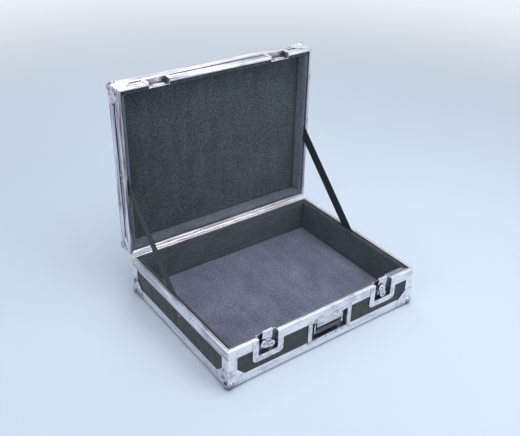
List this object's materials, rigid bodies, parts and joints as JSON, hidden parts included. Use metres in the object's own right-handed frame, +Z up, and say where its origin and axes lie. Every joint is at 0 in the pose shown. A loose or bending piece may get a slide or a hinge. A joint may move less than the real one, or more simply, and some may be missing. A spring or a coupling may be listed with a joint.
{
  "type": "flight case",
  "caption": "Shallow flight case with a hinged lid, aluminium edges, ball corners, butterfly latches, a sprung handle and webbing stay straps, standing open.",
  "frame": {"origin": "centre of the open case's footprint, on the surface that its ball corners stand on", "axes": "+X along the front to the right, +Y from the front to the hinge, +Z up"},
  "size_m": [0.713, 0.6297, 0.6961],
  "materials": {
    "laminate": "fine-grained black laminate on plywood",
    "aluminium": "satin anodised",
    "steel": "bright zinc plated",
    "lining": "short grey pile over foam",
    "webbing": "woven black polypropylene webbing",
    "grip": "matt black rubber"
  },
  "bodies": {
    "base": {"base_bottom_panel": "laminate", "base_front_panel": "laminate", "base_back_panel": "laminate", "base_left_panel": "laminate", "base_right_panel": "laminate", "base_front_edge": "aluminium", "base_back_edge": "aluminium", "base_left_edge": "aluminium", "base_right_edge": "aluminium", "base_corner_angles": "aluminium", "base_front_rim": "aluminium", "base_back_rim": "aluminium", "base_left_rim": "aluminium", "base_right_rim": "aluminium", "base_ball_corners": "steel", "base_rivets": "steel", "base_floor_pad": "lining", "base_front_pad": "lining", "base_back_pad": "lining", "base_side_pads": "lining", "latch_left_dish": "steel", "latch_right_dish": "steel", "handle_dish": "steel", "handle_cover": "steel", "handle_springs": "steel", "hinge_base_leaf": "steel", "hinge_pin": "steel", "strap_left": "webbing", "strap_right": "webbing", "base_strap_rivets": "steel"},
    "lid": {"hinge_lid_leaf": "steel", "lid_strap_rivets": "steel", "lid_top_panel": "laminate", "lid_front_panel": "laminate", "lid_back_panel": "laminate", "lid_left_panel": "laminate", "lid_right_panel": "laminate", "lid_front_edge": "aluminium", "lid_back_edge": "aluminium", "lid_left_edge": "aluminium", "lid_right_edge": "aluminium", "lid_corner_angles": "aluminium", "lid_front_rim": "aluminium", "lid_back_rim": "aluminium", "lid_side_rims": "aluminium", "lid_ball_corners": "steel", "lid_rivets": "steel", "lid_keepers": "steel", "lid_top_pad": "lining", "lid_wall_pads": "lining"},
    "latch_left_turn": {"latch_left_spindle": "steel"},
    "latch_left_fold": {"latch_left_wing": "steel"},
    "latch_left_lift": {"latch_left_slider": "steel"},
    "latch_left_hook": {"latch_left_claw": "steel"},
    "latch_right_turn": {"latch_right_spindle": "steel"},
    "latch_right_fold": {"latch_right_wing": "steel"},
    "latch_right_lift": {"latch_right_slider": "steel"},
    "latch_right_hook": {"latch_right_claw": "steel"},
    "handle": {"handle_bail": "steel", "handle_grip": "grip"}
  },
  "joints": [
    {"name": "lid_hinge", "type": "hinge", "parent": "base", "child": "lid", "pos_m": [0, 0.24522, 0.13605], "axis": [1, 0, 0], "range_deg": [0, 90], "deforming": ["strap_left", "strap_right"]},
    {"name": "latch_left_turn", "type": "hinge", "parent": "base", "child": "latch_left_turn", "pos_m": [-0.217, -0.30838, 0.1029], "axis": [0, 1, 0], "range_deg": [0, 160]},
    {"name": "latch_left_fold", "type": "hinge", "parent": "latch_left_turn", "child": "latch_left_fold", "pos_m": [-0.22008, -0.30647, 0.09444], "axis": [0.9397, 0, -0.342], "range_deg": [0, 90]},
    {"name": "latch_left_lift", "type": "slide", "parent": "base", "child": "latch_left_lift", "axis": [0, 0, 1], "range_m": [-0.005, 0]},
    {"name": "latch_left_lean", "type": "hinge", "parent": "latch_left_lift", "child": "latch_left_hook", "pos_m": [-0.217, -0.29888, 0.0939], "axis": [1, 0, 0], "range_deg": [-5.5, 0]},
    {"name": "latch_right_turn", "type": "hinge", "parent": "base", "child": "latch_right_turn", "pos_m": [0.217, -0.30838, 0.1029], "axis": [0, 1, 0], "range_deg": [0, 110]},
    {"name": "latch_right_fold", "type": "hinge", "parent": "latch_right_turn", "child": "latch_right_fold", "pos_m": [0.20854, -0.30647, 0.09982], "axis": [0.342, 0, -0.9397], "range_deg": [0, 90]},
    {"name": "latch_right_lift", "type": "slide", "parent": "base", "child": "latch_right_lift", "axis": [0, 0, 1], "range_m": [-0.005, 0]},
    {"name": "latch_right_lean", "type": "hinge", "parent": "latch_right_lift", "child": "latch_right_hook", "pos_m": [0.217, -0.29888, 0.0939], "axis": [1, 0, 0], "range_deg": [-5.5, 0]},
    {"name": "handle_swing", "type": "hinge", "parent": "base", "child": "handle", "pos_m": [0.008, -0.29907, 0.0934], "axis": [-1, 0, 0], "range_deg": [0, 90], "stiffness_Nm_per_rad": 0.15, "springref_deg": -11.46, "deforming": ["handle_springs"]}
  ],
  "couplings": [
    {"joint": "latch_left_lift", "follows": "latch_left_turn", "m_per_rad": -0.0017905},
    {"joint": "latch_left_lean", "follows": "latch_left_turn", "ratio": -0.034375},
    {"joint": "latch_right_lift", "follows": "latch_right_turn", "m_per_rad": -0.0026044},
    {"joint": "latch_right_lean", "follows": "latch_right_turn", "ratio": -0.05}
  ]
}
